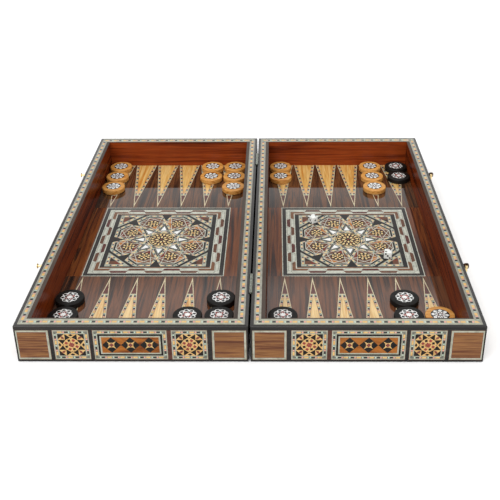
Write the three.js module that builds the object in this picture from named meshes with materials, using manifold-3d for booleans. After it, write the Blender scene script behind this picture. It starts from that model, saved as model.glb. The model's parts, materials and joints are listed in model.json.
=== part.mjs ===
// A folding backgammon set, lying open: two mitred wooden trays joined by two butt hinges,
// two swing hooks that hold it shut, thirty checkers in the starting position and two dice.
// Millimetres, +Z up. The origin is on the table, midway between the trays: the left tray
// is on the -X side, the right tray is on the +X side, and -Y is the front.
import * as THREE from 'three';
import Module from 'manifold-3d';
import { mergeVertices } from 'three/addons/utils/BufferGeometryUtils.js';
import { RoundedBoxGeometry } from 'three/addons/geometries/RoundedBoxGeometry.js';

const wasm = await Module();
wasm.setup();

// ---- trays ----
const TRAY_WIDTH = 245; // one tray, from its hinge face to its outer face
const TRAY_LENGTH = 500; // front to back
const TRAY_HEIGHT = 45; // table to rim
const TRAY_GAP = 2; // between the two hinge faces while the set lies open
const RAIL_THICKNESS = 15.75;
const MITRE_RELIEF = 0.1; // each mitred end is this much short of the corner
const BASE_THICKNESS = 4.5;
const BASE_LAP = 8; // how far the base panel reaches under the rails
const FIELD_THICKNESS = 1; // veneer that carries the points and the medallion
const FIELD_GAP = 0.25; // around the veneer
const MEDALLION_STRIP = 181; // the middle veneer, front to back
const FIT_GAP = 0.2; // around the base panel in its rebate

// ---- hinges ----
const HINGE_Y = 169; // the hinges are this far either side of the middle
const LEAF_LENGTH = 40;
const LEAF_THICKNESS = 1.2;
const LEAF_DROP = 16; // from the pin's axis to the leaf's lower edge
const LEAF_TOP_DROP = 2.6; // from the pin's axis to the plate's upper edge
const NECK_TOP_DROP = 0.65; // the necks reach from the plate into the knuckles
const KNUCKLE_RADIUS = 2;
const KNUCKLE_COUNT = 5;
const KNUCKLE_SPAN = 38; // all the knuckles together
const KNUCKLE_GAP = 0.3;
const BORE_RADIUS = 0.95;
const PIN_RADIUS = 0.65;
const PIN_HEAD_RADIUS = 1.2;
const PIN_HEAD_LENGTH = 0.7;
const MORTISE_GAP = 0.3; // around and behind the leaf
const RIM_GAP = 0.3; // between the two rims while the set is shut
const AXIS_Z = TRAY_HEIGHT + RIM_GAP / 2;

// ---- latches ----
const LATCH_Y = 124; // the latches are this far either side of the middle
const LATCH_Z = 41; // pivot and catch stud, both below the rim
const LATCH_REACH = 2 * (AXIS_Z - LATCH_Z); // pivot to catch stud while shut
const SHANK_RADIUS = 1.3;
const SHANK_DEPTH = 7; // in the rail
const PILOT_GAP = 0.3;
const LATCH_STANDOUT = 7; // the furthest that a screw or stud stands out of the rail
const HOOK_THICKNESS = 3;
const HOOK_STANDOFF = 2.2; // between the rail and the hook
const HOOK_HEAD_RADIUS = 3.3;
const HOOK_BORE_RADIUS = 1.7;
const HOOK_SLOT_RADIUS = 1.8; // the notch that takes the catch stud's neck
const HOOK_HEEL = 2.94; // back of the jaw; with the tip it balances the hook, so that it hangs plumb
const HOOK_TIP = 4.4; // front of the jaw

// ---- game pieces ----
const CHECKER_RADIUS = 16.7;
const CHECKER_HEIGHT = 7;
const CHECKER_ROUNDING = 0.9;
const CHECKER_PITCH = 35; // along a point
const FIRST_CHECKER = 216.5; // the checker next to the rail, from the middle
const DIE_SIZE = 10;
const DIE_ROUNDING = 1.4;
// Columns of checkers: how far each is from its tray's left edge, on the board's far and near
// sides, as [tray, side, offset, count, colour], with side 1 for the far side and -1 for the near.
const COLUMNS = [
  ['left', 1, 33.7, 3, 'light'],
  ['left', 1, 176, 2, 'light'],
  ['left', 1, 211, 3, 'light'],
  ['right', 1, 34, 2, 'light'],
  ['right', 1, 172, 3, 'light'],
  ['right', -1, 211, 2, 'light'],
  ['left', -1, 33.7, 3, 'dark'],
  ['left', -1, 174, 2, 'dark'],
  ['left', -1, 210, 3, 'dark'],
  ['right', -1, 34.5, 2, 'dark'],
  ['right', -1, 176, 3, 'dark'],
  ['right', 1, 212, 2, 'dark'],
];
const DICE = [
  { x: 78.5, y: 47.5, turn: 37 },
  { x: 170, y: -46, turn: -12 },
];

const HINGE_FACE = TRAY_GAP / 2;
const OUTER_FACE = HINGE_FACE + TRAY_WIDTH;
const HALF_LENGTH = TRAY_LENGTH / 2;
const FIELD_TOP = BASE_THICKNESS + FIELD_THICKNESS;
const SIDES = { left: -1, right: 1 };

function material(color, roughness, metalness = 0) {
  return new THREE.MeshStandardMaterial({ color, roughness, metalness });
}

const MATERIALS = {
  rail: () => material(0x5a3420, 0.3),
  base: () => material(0x4a2c1c, 0.45),
  field: () => material(0x6e5546, 0.25),
  medallion: () => material(0x8a6a4e, 0.25),
  light: () => material(0xcd9650, 0.3),
  dark: () => material(0x2c2a28, 0.3),
  bone: () => material(0xf0efea, 0.25),
  brass: () => material(0xe0b860, 0.25, 1),
  steel: () => material(0xc4c6c6, 0.3, 1),
};

const set = new THREE.Group();

function addPiece(name, geometry, look) {
  const mesh = new THREE.Mesh(geometry, MATERIALS[look]());
  mesh.name = name;
  set.add(mesh);
  return mesh;
}

// ---- shapes ----

function block(x0, x1, y0, y1, z0, z1) {
  const box = new THREE.BoxGeometry(Math.abs(x1 - x0), Math.abs(y1 - y0), Math.abs(z1 - z0));
  return box.translate((x0 + x1) / 2, (y0 + y1) / 2, (z0 + z1) / 2);
}

function prism(points, height) {
  const outline = new THREE.Shape(points.map(([x, y]) => new THREE.Vector2(x, y)));
  return new THREE.ExtrudeGeometry(outline, { depth: height, bevelEnabled: false });
}

function cylinderAlongY(radius, y0, y1, segments) {
  const rod = new THREE.CylinderGeometry(radius, radius, y1 - y0, segments);
  return rod.translate(0, (y0 + y1) / 2, 0);
}

// A solid of revolution whose axis runs from the rail's outer face outwards along +X or -X.
// The profile is a list of [distance from the face, radius].
function turnedAlongX(profile, side, segments) {
  const points = profile.map(([distance, radius]) => new THREE.Vector2(radius, distance));
  const turned = new THREE.LatheGeometry(points, segments);
  return turned.rotateZ(-side * Math.PI / 2);
}

// ---- cutting and joining ----

function toSolid(geometry) {
  const bare = geometry.clone();
  bare.deleteAttribute('normal');
  bare.deleteAttribute('uv');
  const merged = mergeVertices(bare, 1e-4);
  return new wasm.Manifold(new wasm.Mesh({
    numProp: 3,
    vertProperties: new Float32Array(merged.attributes.position.array),
    triVerts: new Uint32Array(merged.index.array),
  }));
}

function toGeometry(solid) {
  const mesh = solid.getMesh();
  const geometry = new THREE.BufferGeometry();
  geometry.setAttribute('position', new THREE.BufferAttribute(mesh.vertProperties, 3));
  geometry.setIndex(new THREE.BufferAttribute(mesh.triVerts, 1));
  geometry.computeVertexNormals();
  return geometry;
}

function joined(geometries) {
  return geometries.map(toSolid).reduce((all, next) => all.add(next));
}

function cut(geometry, cutters) {
  return toGeometry(cutters.map(toSolid).reduce((rest, next) => rest.subtract(next), toSolid(geometry)));
}

// ---- trays ----

// The rails' plans, mitred at 45 degrees, from the tray's hinge face (h) to its outer face (o).
function railPlans(side) {
  const h = side * HINGE_FACE;
  const o = side * OUTER_FACE;
  const hi = h + side * RAIL_THICKNESS;
  const oi = o - side * RAIL_THICKNESS;
  const r = side * MITRE_RELIEF;
  const y = HALF_LENGTH;
  const yi = HALF_LENGTH - RAIL_THICKNESS;
  const m = MITRE_RELIEF;
  return {
    front_rail: [[h + r, -y], [o - r, -y], [oi - r, -yi], [hi + r, -yi]],
    back_rail: [[h + r, y], [o - r, y], [oi - r, yi], [hi + r, yi]],
    hinge_rail: [[h, -y + m], [hi, -yi + m], [hi, yi - m], [h, y - m]],
    outer_rail: [[o, -y + m], [oi, -yi + m], [oi, yi - m], [o, y - m]],
  };
}

function baseRebate(side) {
  const inset = RAIL_THICKNESS - BASE_LAP - FIT_GAP;
  const y = HALF_LENGTH - inset;
  const top = BASE_THICKNESS + FIT_GAP;
  return block(side * (HINGE_FACE + inset), side * (OUTER_FACE - inset), -y, y, -1, top);
}

function leafMortise(side, y) {
  const half = LEAF_LENGTH / 2 + MORTISE_GAP;
  const depth = LEAF_THICKNESS + MORTISE_GAP;
  const bottom = AXIS_Z - LEAF_DROP - MORTISE_GAP;
  const x0 = side * (HINGE_FACE - 1);
  return block(x0, side * (HINGE_FACE + depth), y - half, y + half, bottom, TRAY_HEIGHT + 1);
}

function pilotHole(side, y) {
  const depth = SHANK_DEPTH + PILOT_GAP;
  const radius = SHANK_RADIUS + PILOT_GAP;
  const hole = turnedAlongX([[-depth, 0], [-depth, radius], [1, radius], [1, 0]], side, 12);
  return hole.translate(side * OUTER_FACE, y, LATCH_Z);
}

function addTray(name) {
  const side = SIDES[name];
  const cutters = {
    front_rail: [],
    back_rail: [],
    hinge_rail: [-HINGE_Y, HINGE_Y].map((y) => leafMortise(side, y)),
    outer_rail: [-LATCH_Y, LATCH_Y].map((y) => pilotHole(side, y)),
  };
  for (const [rail, plan] of Object.entries(railPlans(side))) {
    const blank = prism(plan, TRAY_HEIGHT);
    addPiece(`${name}_${rail}`, cut(blank, [baseRebate(side), ...cutters[rail]]), 'rail');
  }

  const inset = RAIL_THICKNESS - BASE_LAP;
  const x0 = side * (HINGE_FACE + inset);
  const x1 = side * (OUTER_FACE - inset);
  const y = HALF_LENGTH - inset;
  addPiece(`${name}_base_panel`, block(x0, x1, -y, y, 0, BASE_THICKNESS), 'base');

  const fieldInset = RAIL_THICKNESS + FIELD_GAP;
  const fx0 = side * (HINGE_FACE + fieldInset);
  const fx1 = side * (OUTER_FACE - fieldInset);
  const fy = HALF_LENGTH - fieldInset;
  const my = MEDALLION_STRIP / 2;
  const strips = {
    front_field: [-fy, -my, 'field'],
    medallion_panel: [-my, my, 'medallion'],
    back_field: [my, fy, 'field'],
  };
  for (const [strip, [y0, y1, look]] of Object.entries(strips)) {
    addPiece(`${name}_${strip}`, block(fx0, fx1, y0, y1, BASE_THICKNESS, FIELD_TOP), look);
  }
}

// ---- hinges ----

// One leaf: a plate let into the rail, necks, and every other knuckle, bored for the pin.
function leaf(side, firstKnuckle) {
  const half = LEAF_LENGTH / 2;
  const x0 = side * HINGE_FACE;
  const x1 = side * (HINGE_FACE + LEAF_THICKNESS);
  const step = KNUCKLE_SPAN / KNUCKLE_COUNT;
  const pieces = [block(x0, x1, -half, half, -LEAF_DROP, -LEAF_TOP_DROP)];
  for (let knuckle = firstKnuckle; knuckle < KNUCKLE_COUNT; knuckle += 2) {
    const y0 = -KNUCKLE_SPAN / 2 + knuckle * step + KNUCKLE_GAP / 2;
    const y1 = y0 + step - KNUCKLE_GAP;
    pieces.push(block(x0, x1, y0, y1, -LEAF_TOP_DROP - 0.5, -NECK_TOP_DROP));
    pieces.push(cylinderAlongY(KNUCKLE_RADIUS, y0, y1, 20));
  }
  const bore = cylinderAlongY(BORE_RADIUS, -half, half, 12);
  return toGeometry(joined(pieces).subtract(toSolid(bore)));
}

function hingePin() {
  const end = KNUCKLE_SPAN / 2 + KNUCKLE_GAP / 2;
  const tip = end + PIN_HEAD_LENGTH;
  const profile = [
    [0, -tip], [PIN_HEAD_RADIUS * 0.7, -tip], [PIN_HEAD_RADIUS, -tip + 0.3],
    [PIN_HEAD_RADIUS, -end], [PIN_RADIUS, -end], [PIN_RADIUS, end],
    [PIN_HEAD_RADIUS, end], [PIN_HEAD_RADIUS, tip - 0.3], [PIN_HEAD_RADIUS * 0.7, tip], [0, tip],
  ];
  return new THREE.LatheGeometry(profile.map(([r, y]) => new THREE.Vector2(r, y)), 12);
}

function addHinge(name, y) {
  const pieces = [
    ['right_leaf', leaf(SIDES.right, 0)],
    ['left_leaf', leaf(SIDES.left, 1)],
    ['pin', hingePin()],
  ];
  for (const [piece, geometry] of pieces) {
    addPiece(`${name}_hinge_${piece}`, geometry, 'steel').position.set(0, y, AXIS_Z);
  }
}

// ---- latches ----

// The hook's outline about its pivot, hanging down: a round eye, an arm, and a jaw whose
// notch is open on one side. Its second axis is up.
function hookOutline() {
  const notch = -LATCH_REACH;
  const outline = new THREE.Shape();
  outline.moveTo(-2.4, -2.2);
  outline.lineTo(-2.4, notch + HOOK_SLOT_RADIUS);
  outline.lineTo(0, notch + HOOK_SLOT_RADIUS);
  outline.absarc(0, notch, HOOK_SLOT_RADIUS, Math.PI / 2, -Math.PI / 2, true);
  outline.lineTo(-HOOK_TIP, notch - HOOK_SLOT_RADIUS);
  outline.lineTo(-HOOK_TIP - 0.2, notch - 2.6);
  outline.quadraticCurveTo(-2.6, notch - 4.4, 0, notch - 4.4);
  outline.quadraticCurveTo(HOOK_HEEL, notch - 3.6, HOOK_HEEL, notch);
  outline.lineTo(2.4, -2.2);
  outline.absarc(0, 0, HOOK_HEAD_RADIUS, -Math.PI / 4, 5 * Math.PI / 4, false);
  const bore = new THREE.Path();
  bore.absarc(0, 0, HOOK_BORE_RADIUS, 0, 2 * Math.PI, true);
  outline.holes.push(bore);
  return outline;
}

function addLatch(name, y) {
  const hook = new THREE.ExtrudeGeometry(hookOutline(), {
    depth: HOOK_THICKNESS, bevelEnabled: false, curveSegments: 6,
  });
  hook.rotateX(Math.PI / 2).rotateZ(Math.PI / 2);
  addPiece(`${name}_latch_hook`, hook, 'brass').position.set(OUTER_FACE + HOOK_STANDOFF, y, LATCH_Z);

  const shoulder = HOOK_STANDOFF - 0.3;
  const head = HOOK_STANDOFF + HOOK_THICKNESS + 0.3;
  const screw = turnedAlongX([
    [-SHANK_DEPTH, 0], [-SHANK_DEPTH + 1.5, SHANK_RADIUS], [0.2, SHANK_RADIUS],
    [0.2, 2.6], [shoulder, 2.6], [shoulder, SHANK_RADIUS], [head, SHANK_RADIUS],
    [head, 3], [head + 0.8, 3], [LATCH_STANDOUT - 0.2, 2], [LATCH_STANDOUT, 0],
  ], SIDES.right, 16);
  addPiece(`${name}_latch_screw`, screw, 'brass').position.set(OUTER_FACE, y, LATCH_Z);

  const stud = turnedAlongX([
    [-SHANK_DEPTH, 0], [-SHANK_DEPTH + 1.5, SHANK_RADIUS], [0.2, SHANK_RADIUS],
    [0.2, 2.4], [1.2, 2.4], [1.4, SHANK_RADIUS], [head, SHANK_RADIUS],
    [head, 2.6], [head + 0.4, 3.1], [head + 0.8, 3], [LATCH_STANDOUT - 0.2, 1.8], [LATCH_STANDOUT, 0],
  ], SIDES.left, 16);
  addPiece(`${name}_latch_stud`, stud, 'brass').position.set(-OUTER_FACE, y, LATCH_Z);
}

// ---- game pieces ----

function checker() {
  const r = CHECKER_RADIUS;
  const h = CHECKER_HEIGHT;
  const e = CHECKER_ROUNDING;
  const profile = [[0, 0], [r - e, 0], [r, e], [r, h - e], [r - e, h], [0, h]];
  const turned = new THREE.LatheGeometry(profile.map(([x, y]) => new THREE.Vector2(x, y)), 24);
  return turned.rotateX(Math.PI / 2);
}

function addCheckers() {
  const made = { light: 0, dark: 0 };
  for (const [tray, side, offset, count, colour] of COLUMNS) {
    const leftEdge = tray === 'left' ? -OUTER_FACE : HINGE_FACE;
    for (let row = 0; row < count; row += 1) {
      made[colour] += 1;
      const name = `${colour}_checker_${String(made[colour]).padStart(2, '0')}`;
      const y = side * (FIRST_CHECKER - row * CHECKER_PITCH);
      addPiece(name, checker(), colour).position.set(leftEdge + offset, y, FIELD_TOP);
    }
  }
}

function addDice() {
  DICE.forEach(({ x, y, turn }, index) => {
    const die = new RoundedBoxGeometry(DIE_SIZE, DIE_SIZE, DIE_SIZE, 2, DIE_ROUNDING);
    die.rotateZ(THREE.MathUtils.degToRad(turn));
    addPiece(`die_${index + 1}`, die, 'bone').position.set(x, y, FIELD_TOP + DIE_SIZE / 2);
  });
}

addTray('left');
addTray('right');
addHinge('front', -HINGE_Y);
addHinge('back', HINGE_Y);
addLatch('front', -LATCH_Y);
addLatch('back', LATCH_Y);
addCheckers();
addDice();

export default set;
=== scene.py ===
"""The looks of a folding inlaid backgammon set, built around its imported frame.

Sizes are in millimetres unless a name says otherwise, and MM turns them into metres.
A tray's plan runs from its left edge (u) and its near edge (v).
Marquetry is a list of shapes, each a material's name and a polygon, and later shapes lie on top.
"""
import json
import math

import bmesh
import bpy
from mathutils import Matrix, Vector
from mathutils.geometry import delaunay_2d_cdt


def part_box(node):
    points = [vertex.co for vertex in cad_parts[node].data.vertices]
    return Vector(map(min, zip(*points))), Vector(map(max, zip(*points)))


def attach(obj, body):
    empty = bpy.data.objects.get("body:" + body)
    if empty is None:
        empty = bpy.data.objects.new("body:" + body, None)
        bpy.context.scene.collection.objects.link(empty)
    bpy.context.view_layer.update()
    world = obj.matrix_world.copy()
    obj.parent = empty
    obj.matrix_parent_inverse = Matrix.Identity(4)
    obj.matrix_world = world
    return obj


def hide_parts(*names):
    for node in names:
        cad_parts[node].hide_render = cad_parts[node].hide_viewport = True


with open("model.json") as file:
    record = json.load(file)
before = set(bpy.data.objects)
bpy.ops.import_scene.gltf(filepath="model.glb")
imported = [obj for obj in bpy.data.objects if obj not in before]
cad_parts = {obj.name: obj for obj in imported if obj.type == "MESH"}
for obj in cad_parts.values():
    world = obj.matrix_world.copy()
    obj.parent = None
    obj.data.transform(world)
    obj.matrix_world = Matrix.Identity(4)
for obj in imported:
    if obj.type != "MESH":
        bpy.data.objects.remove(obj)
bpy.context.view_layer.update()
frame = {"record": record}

MM = 0.001
TRAYS = ("left", "right")
TRAY_SIZE = (245.0, 500.0)
FIELD_EDGE = 15.75  # from a tray's outside to the end of its field
# How far each line of a rail's top band lies from the rail's outer face.
END_BAND = {"ebony": 4.0, "bone": 7.2, "chips": 10.4, "brown": 13.9}
SIDE_BAND = {"ebony": 3.8, "bone": 5.8, "chips": 8.8, "brown": 11.3}
LIFT = 0.04  # how far an inlay stands proud of its ground
DISC_RADIUS = 10.6


# ---------------------------------------------------------------- materials

MATERIALS = {}


def srgb(red, green, blue):
    """A colour given as it looks on a screen, 0 to 255, as the linear values that shaders take."""
    def linear(value):
        value /= 255
        return value / 12.92 if value <= 0.04045 else ((value + 0.055) / 1.055) ** 2.4
    return (linear(red), linear(green), linear(blue), 1.0)


class Shader:
    """A Principled material and the few node chains that all of these materials share."""

    def __init__(self, name, **plain):
        self.name = name
        self.material = bpy.data.materials.new(name)
        self.material.use_nodes = True
        self.tree = self.material.node_tree
        self.surface = self.tree.nodes["Principled BSDF"]
        for socket, value in plain.items():
            self.surface.inputs[socket.replace("_", " ")].default_value = value
        self.coords = self.tree.nodes.new("ShaderNodeTexCoord").outputs["Object"]

    def node(self, kind, inputs, **settings):
        made = self.tree.nodes.new(kind)
        for key, value in settings.items():
            setattr(made, key, value)
        for socket, value in inputs.items():
            if isinstance(value, bpy.types.NodeSocket):
                self.tree.links.new(value, made.inputs[socket])
            else:
                made.inputs[socket].default_value = value
        return made

    def noise(self, scale, detail=4.0, distortion=0.0, offset=(0.0, 0.0, 0.0), roughness=0.55):
        mapped = self.node("ShaderNodeMapping", {"Vector": self.coords, "Scale": scale, "Location": offset})
        return self.node("ShaderNodeTexNoise", {
            "Vector": mapped.outputs["Vector"], "Scale": 1.0, "Detail": detail,
            "Distortion": distortion, "Roughness": roughness}).outputs["Fac"]

    def ramp(self, value, tones, low=0.3, high=0.7):
        made = self.node("ShaderNodeValToRGB", {"Fac": value})
        elements = made.color_ramp.elements
        step = (high - low) / (len(tones) - 1)
        elements[0].position, elements[0].color = low, srgb(*tones[0])
        elements[1].position, elements[1].color = high, srgb(*tones[-1])
        for index, tone in enumerate(tones[1:-1], start=1):
            elements.new(low + index * step).color = srgb(*tone)
        return made.outputs["Color"]

    def spread(self, value, low, high):
        """The noise's usual values, spread out from low to high."""
        return self.node("ShaderNodeMapRange", {
            "Value": value, "From Min": 0.25, "From Max": 0.75,
            "To Min": low, "To Max": high}).outputs["Result"]

    def shaded(self, colour, value, low, high):
        """colour, made darker and lighter by value."""
        inputs = {0: colour, 1: self.spread(value, low, high)}
        return self.node("ShaderNodeVectorMath", inputs, operation="MULTIPLY").outputs["Vector"]

    def finish(self, colour, roughness, bump=None, depth=0.00002):
        self.tree.links.new(colour, self.surface.inputs["Base Color"])
        self.tree.links.new(roughness, self.surface.inputs["Roughness"])
        if bump is not None:
            made = self.node("ShaderNodeBump", {"Height": bump, "Strength": 0.3, "Distance": depth})
            self.tree.links.new(made.outputs["Normal"], self.surface.inputs["Normal"])
        MATERIALS[self.name] = self.material
        return self.material


def lacquered(name, coat, gloss):
    """A material whose shine is all in its lacquer; gloss is the lacquer's roughness."""
    return Shader(name, Coat_Weight=coat, Coat_Roughness=gloss, Coat_IOR=1.5, Specular_IOR_Level=0.0)


def wood(name, tones, along, figure=(7.0, 95.0), fibre=(45.0, 1500.0), swirl=1.2, seed=0.0,
         coat=1.0, gloss=0.04, rough=0.42):
    """Wood with its grain along an axis: a broad figure of tones, and fine fibres in it.

    figure and fibre are texture scales, with the grain and across it."""
    shader = lacquered(name, coat, gloss)
    offset = (seed * 3.1, seed * 1.7, seed * 2.3)
    broad, fine = (tuple(near if axis == along else across for axis in "xyz")
                   for near, across in (figure, fibre))
    broad = shader.noise(broad, 5.0, swirl, offset)
    fine = shader.noise(fine, 3.0, 0.2, offset)
    colour = shader.shaded(shader.ramp(broad, tones), fine, 0.72, 1.18)
    shader.finish(colour, shader.spread(fine, rough - 0.1, rough + 0.1), fine)


def chip(name, tones, rough=0.3, coat=1.0, size=170.0):
    """Bone, shell, dyed wood and the like: small pieces that differ a little from each other."""
    shader = lacquered(name, coat, 0.05)
    broad = shader.noise((size, size, size), 2.0, 0.3)
    fine = shader.noise((2200.0, 2200.0, 2200.0), 2.0)
    colour = shader.shaded(shader.ramp(broad, tones), fine, 0.9, 1.08)
    shader.finish(colour, shader.spread(fine, rough - 0.07, rough + 0.07), fine, 0.00001)


def metal(name, tones, rough):
    shader = Shader(name, Metallic=1.0)
    broad = shader.noise((260.0, 260.0, 260.0), 3.0)
    fine = shader.noise((900.0, 4200.0, 4200.0), 2.0)
    roughness = shader.spread(fine, rough - 0.06, rough + 0.1)
    shader.finish(shader.ramp(broad, tones), roughness, fine, 0.000008)


EBONY = [(21, 21, 20), (36, 34, 32), (46, 41, 37)]
DARK_CHIP = [(14, 14, 14), (25, 24, 22), (38, 27, 20)]

for along, suffix in (("x", ""), ("y", "_y")):
    wood("ebony" + suffix, EBONY, along, gloss=0.15)
    wood("rim_brown" + suffix, [(52, 44, 38), (72, 60, 52), (62, 52, 45)], along, coat=0.5, gloss=0.2)
    wood("panel" + suffix, [(80, 45, 29), (99, 60, 39), (137, 95, 57), (88, 50, 33)], along,
         figure=(9.0, 330.0), coat=0.35)
    wood("amber" + suffix, [(90, 42, 10), (132, 74, 22), (158, 96, 37), (108, 54, 15)], along,
         figure=(14.0, 90.0), coat=0.35)
wood("ebony_face", EBONY, "x", coat=0.4, gloss=0.25)
wood("mahogany", [(68, 22, 7), (114, 45, 17), (145, 64, 25), (85, 30, 10)], "x",
     figure=(4.0, 150.0), coat=0.3, gloss=0.22)
# mahogany_y, for the inner faces of the side rails, is mahogany painted darker: painted shade on the walls
# that face across the tray.
wood("mahogany_y", [(52, 17, 6), (92, 36, 14), (118, 51, 19), (66, 24, 8)], "y",
     figure=(4.0, 150.0), coat=0.3, gloss=0.22)
wood("front_field", [(25, 19, 16), (66, 42, 29), (106, 64, 39), (24, 20, 18)], "y", (6.0, 130.0), seed=1.0)
wood("middle_field", [(47, 24, 14), (85, 41, 19), (121, 67, 30), (49, 26, 15)], "y", (6.0, 130.0), seed=2.0)
wood("back_field", [(26, 20, 17), (60, 40, 27), (100, 63, 37), (28, 24, 21)], "y", (6.0, 130.0), seed=3.0)
wood("underside", [(48, 28, 20), (76, 46, 30), (92, 58, 36), (56, 34, 24)], "y", seed=4.0)
wood("red_strip", [(70, 40, 32), (92, 56, 44)], "x", coat=0.35)
wood("point", [(179, 112, 41), (201, 153, 82), (214, 179, 115), (192, 132, 58)], "y", (8.0, 150.0))
wood("pale_point", [(186, 130, 64), (208, 171, 110), (218, 190, 137), (198, 147, 79)], "y", (8.0, 150.0))
wood("light_checker", [(156, 90, 32), (192, 132, 62), (210, 156, 86), (176, 108, 44)], "x",
     (26.0, 190.0), (200.0, 2600.0), swirl=1.6, coat=0.5, gloss=0.2, rough=0.45)
wood("dark_checker", [(14, 14, 13), (25, 24, 22), (32, 28, 26)], "x",
     (26.0, 190.0), (200.0, 2600.0), swirl=1.6, coat=0.35, gloss=0.3, rough=0.5)

CHIPS = {
    "tip": [(62, 24, 18), (86, 34, 26), (66, 38, 28)],
    "red_wood": [(84, 28, 16), (112, 46, 26), (92, 28, 20)],
    "brown_wood": [(66, 38, 24), (98, 58, 36), (76, 46, 32)],
    "amber_wood": [(140, 80, 30), (172, 110, 50), (152, 88, 34)],
    "umber_wood": [(84, 52, 32), (116, 76, 48), (98, 62, 38)],
    "bone": [(135, 135, 118), (152, 153, 135), (164, 163, 147)],
    "bone_ribbon": [(138, 138, 124), (156, 157, 142), (168, 168, 154)],
    "side_bone": [(120, 118, 107), (137, 135, 122), (148, 146, 134)],
    "pale_bone": [(168, 170, 158), (186, 188, 174), (196, 196, 184)],
    "bone_line": [(84, 84, 76), (108, 106, 94)],
    "cream": [(176, 162, 130), (200, 188, 154), (186, 172, 140)],
    "chip_pink": [(186, 122, 108), (208, 150, 134), (194, 132, 114)],
    "chip_yellow": [(182, 140, 76), (206, 169, 106), (193, 151, 83)],
    "chip_mint": [(150, 172, 150), (168, 186, 168), (178, 184, 168)],
    "maple": [(177, 133, 72), (199, 162, 101), (186, 142, 79)],
    "pale_maple": [(206, 169, 108), (226, 198, 143), (214, 181, 118)],
    "disc_red": [(104, 26, 15), (140, 46, 28)],
    "disc_pink": [(176, 146, 134), (194, 168, 156)],
}
for chip_name, chip_tones in CHIPS.items():
    chip(chip_name, chip_tones)
chip("chip_dark", DARK_CHIP, size=120.0)
chip("face_dark", DARK_CHIP, coat=0.3, size=120.0)
chip("nacre", [(206, 208, 204), (230, 232, 230), (220, 214, 208)], 0.18)
chip("die", [(216, 218, 214), (226, 228, 224)], 0.3, coat=0.15)
chip("pip", [(10, 10, 10), (18, 17, 16)], 0.4, coat=0.05)

metal("brass", [(226, 196, 134), (244, 222, 170), (234, 208, 148)], 0.26)
# A dark brown metal, for the pivot screws and for the hook above its pivot.
metal("patina", [(40, 22, 13), (61, 36, 20), (32, 20, 13)], 0.4)
metal("steel", [(114, 117, 108), (138, 142, 132), (126, 128, 118)], 0.26)


# ---------------------------------------------------------------- plane geometry

def area(polygon):
    pairs = zip(polygon, polygon[1:] + polygon[:1])
    return sum(a[0] * b[1] - b[0] * a[1] for a, b in pairs) / 2


def rectangle(u0, v0, u1, v1):
    return [(u0, v0), (u1, v0), (u1, v1), (u0, v1)]


def regular(count, radius, turn=0.0):
    """A regular polygon about the origin; turn is its first corner's direction in degrees."""
    angles = [math.radians(turn + 360 * k / count) for k in range(count)]
    return [(radius * math.cos(a), radius * math.sin(a)) for a in angles]


def lozenge(near, far, half, angle, waist=0.5):
    """A kite that points away from the middle, at an angle in degrees."""
    widest = near + (far - near) * waist
    return turned([(near, 0), (widest, -half), (far, 0), (widest, half)], angle)


def arc(centre, radius, start, end, steps):
    angles = [math.radians(start + (end - start) * k / steps) for k in range(steps + 1)]
    return [(centre[0] + radius * math.cos(a), centre[1] + radius * math.sin(a)) for a in angles]


def turned(polygon, degrees, centre=(0.0, 0.0)):
    """polygon, turned about the origin and then moved to centre."""
    c, s = math.cos(math.radians(degrees)), math.sin(math.radians(degrees))
    return [(centre[0] + x * c - y * s, centre[1] + x * s + y * c) for x, y in polygon]


def all_turned(shapes, degrees, centre=(0.0, 0.0)):
    return [(material, turned(polygon, degrees, centre)) for material, polygon in shapes]


def renamed(shapes, names):
    """The same shapes with some of their materials changed."""
    return [(names.get(material, material), polygon) for material, polygon in shapes]


def midpoint(a, b):
    return ((a[0] + b[0]) / 2, (a[1] + b[1]) / 2)


def inset(polygon, distances):
    """A convex polygon with each edge moved inwards by its distance."""
    points = polygon if area(polygon) > 0 else polygon[::-1]
    lines = []
    for index, (a, b) in enumerate(zip(points, points[1:] + points[:1])):
        along = (Vector(b) - Vector(a)).normalized()
        inward = Vector((-along.y, along.x))
        lines.append((Vector(a) + inward * distances[index % len(distances)], along))
    corners = []
    for (p, d), (q, e) in zip(lines[-1:] + lines[:-1], lines):
        t = ((q - p).x * e.y - (q - p).y * e.x) / (d.x * e.y - d.y * e.x)
        corners.append(tuple(p + d * t))
    return corners


def holds(polygon, point):
    """Whether a point lies inside a polygon."""
    inside = False
    for a, b in zip(polygon, polygon[1:] + polygon[:1]):
        if (a[1] > point.y) != (b[1] > point.y):
            if point.x < a[0] + (b[0] - a[0]) * (point.y - a[1]) / (b[1] - a[1]):
                inside = not inside
    return inside


def strip(a, b, half):
    """The band of half-width half along the line from a to b."""
    a, b = Vector(a), Vector(b)
    along = (b - a).normalized()
    side = Vector((-along.y, along.x)) * half
    return [tuple(a - side), tuple(b - side), tuple(b + side), tuple(a + side)]


# The colours in one repeat of a ribbon's middle row, as shares of the repeat.
REPEAT = (("chip_mint", 0.04, 0.15), ("chip_dark", 0.17, 0.42), ("chip_pink", 0.45, 0.57),
          ("chip_yellow", 0.62, 0.96))


def chips(a, b, half, repeat, trim=0.0):
    """The middle row of a ribbon from a to b, less trim at both ends: whole repeats, evenly spaced."""
    a, b = Vector(a), Vector(b)
    ends = (b - a).normalized() * trim
    a, b = a + ends, b - ends
    count = max(1, round((b - a).length / repeat))
    step = (b - a) / count
    return [(material, strip(a + step * (k + start), a + step * (k + end), half))
            for k in range(count) for material, start, end in REPEAT]


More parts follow.
